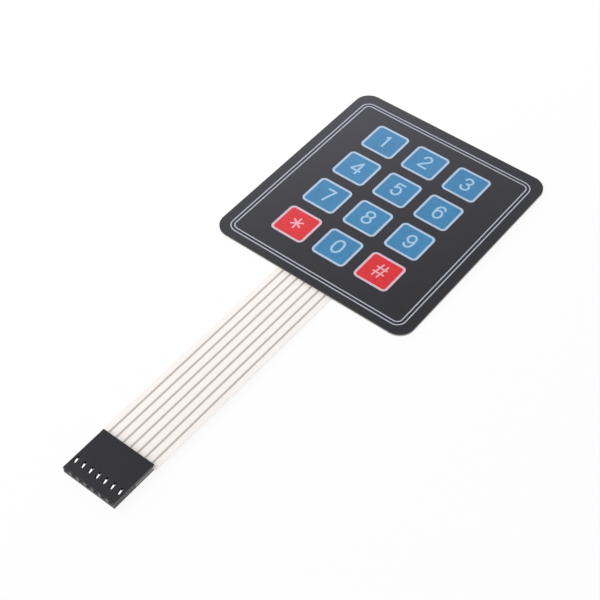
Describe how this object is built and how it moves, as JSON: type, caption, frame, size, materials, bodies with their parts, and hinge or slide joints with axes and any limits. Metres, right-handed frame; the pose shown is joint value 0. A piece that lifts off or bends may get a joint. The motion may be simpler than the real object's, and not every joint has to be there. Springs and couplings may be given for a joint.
{
  "type": "membrane keypad",
  "caption": "Thin flexible telephone-style membrane keypad with blue and red printed keys on a dark sheet, a flat film tail and a black single-row socket.",
  "frame": {"origin": "middle of the key sheet's rear face, on the paper liner", "axes": "+X across the key columns from the first to the last, +Y along the columns towards the top row and away from the tail, +Z out of the key face"},
  "size_m": [0.069, 0.1636, 0.0025],
  "materials": {
    "overlay_film": "matt textured film",
    "blue_ink": "matt print",
    "red_ink": "matt print",
    "pale_ink": "matt print",
    "adhesive": "satin",
    "circuit_film": "satin translucent film",
    "conductor_ink": "matt metallic ink",
    "spacer_film": "satin film",
    "liner_paper": "smooth coated paper",
    "housing_plastic": "satin moulded plastic",
    "terminal_metal": "bright tin plate"
  },
  "bodies": {
    "root": {"graphic_overlay": "overlay_film", "blue_key_print": "blue_ink", "red_key_print": "red_ink", "pale_line_print": "pale_ink", "overlay_adhesive": "adhesive", "upper_circuit_film": "circuit_film", "upper_conductors": "conductor_ink", "joining_dots": "conductor_ink", "spacer": "spacer_film", "lower_circuit_film": "circuit_film", "lower_conductors": "conductor_ink", "rear_adhesive": "adhesive", "release_liner": "liner_paper", "socket_housing": "housing_plastic", "terminal_1": "terminal_metal", "terminal_2": "terminal_metal", "terminal_3": "terminal_metal", "terminal_4": "terminal_metal", "terminal_5": "terminal_metal", "terminal_6": "terminal_metal", "terminal_7": "terminal_metal"}
  },
  "joints": []
}
